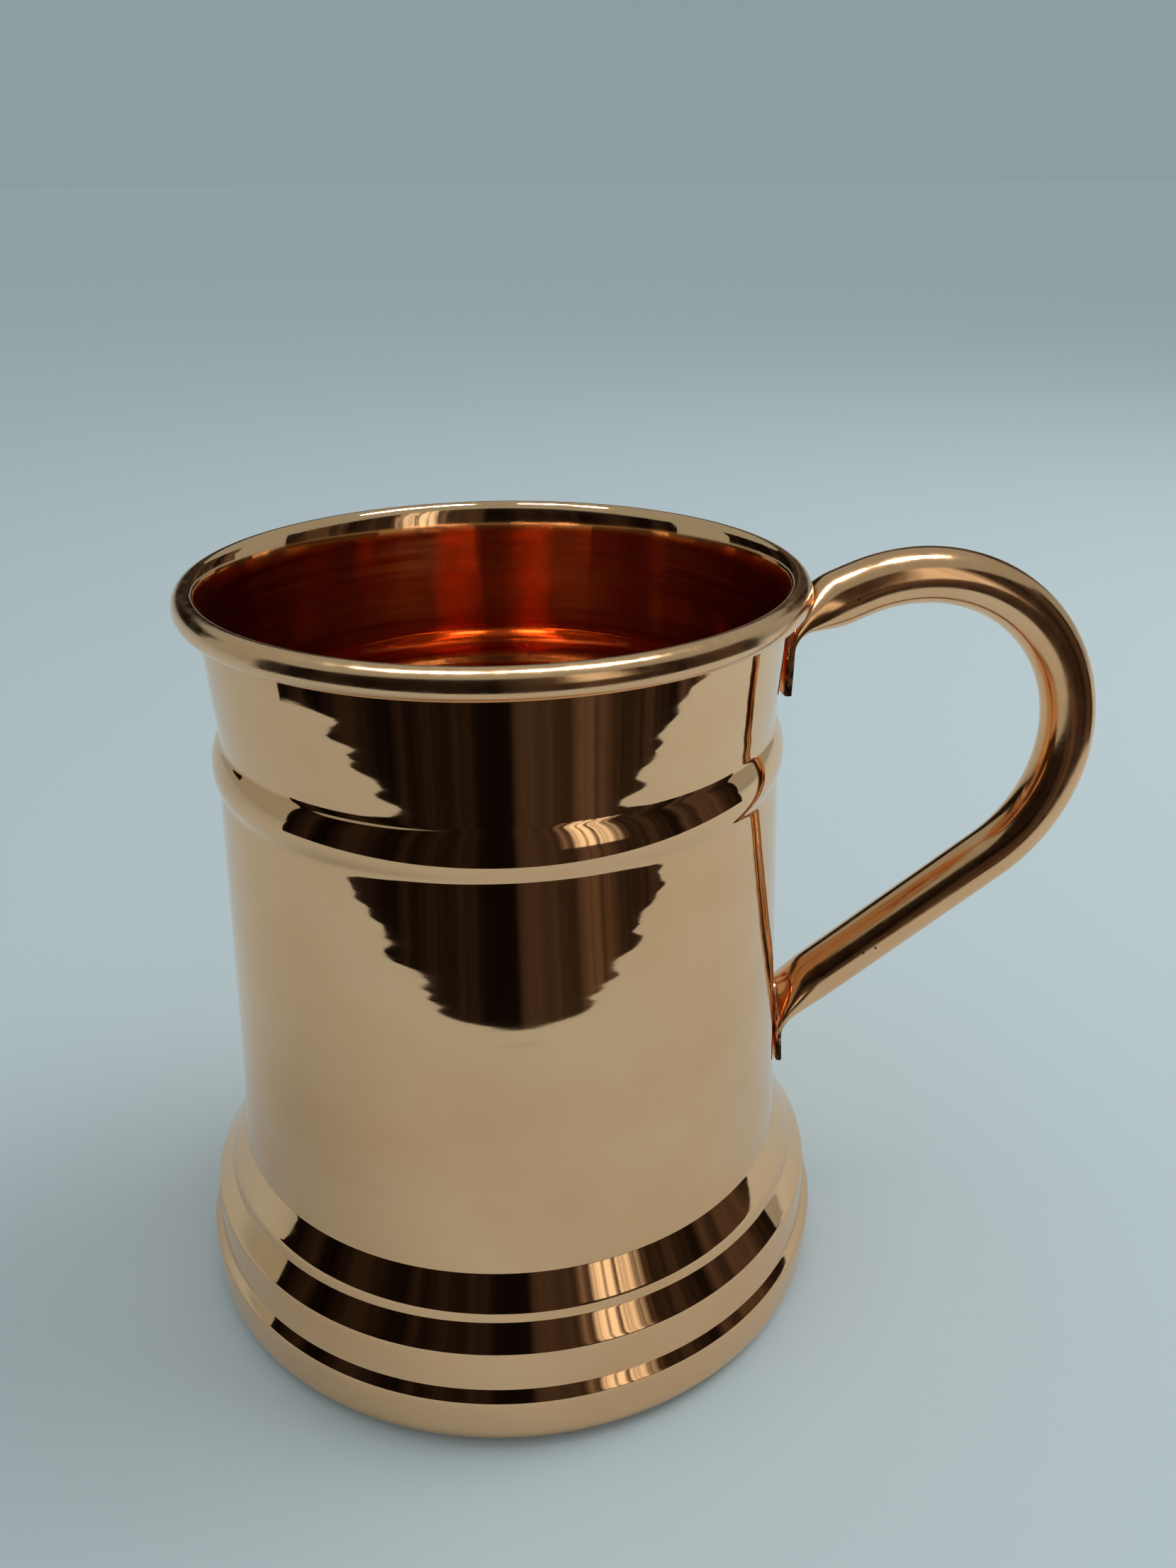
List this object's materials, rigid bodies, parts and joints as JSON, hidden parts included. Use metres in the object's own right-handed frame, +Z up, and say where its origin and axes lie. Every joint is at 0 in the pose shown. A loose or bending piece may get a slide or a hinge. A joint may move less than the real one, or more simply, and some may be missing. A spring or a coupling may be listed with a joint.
{
  "type": "copper mug",
  "caption": "Tankard-style copper drinking mug with a rolled rim, a raised ring, a flared stepped foot and a bent tube loop handle.",
  "frame": {"origin": "centre of the base plate's underside, on the mug's axis, in the plane the mug stands on", "axes": "+Z up along the mug's axis, +X out through the middle of the handle"},
  "size_m": [0.1457, 0.1016, 0.1164],
  "materials": {
    "body_copper": "polished copper, mirror bright outside, spun lines inside",
    "base_copper": "spun copper sheet",
    "solder": "dull silver solder",
    "handle_copper": "polished copper tube",
    "braze": "cast copper braze drops"
  },
  "bodies": {
    "root": {"body_shell": "body_copper", "base_disc": "base_copper", "base_seam": "solder", "handle": "handle_copper", "braze_upper": "braze", "braze_lower": "braze"}
  },
  "joints": []
}
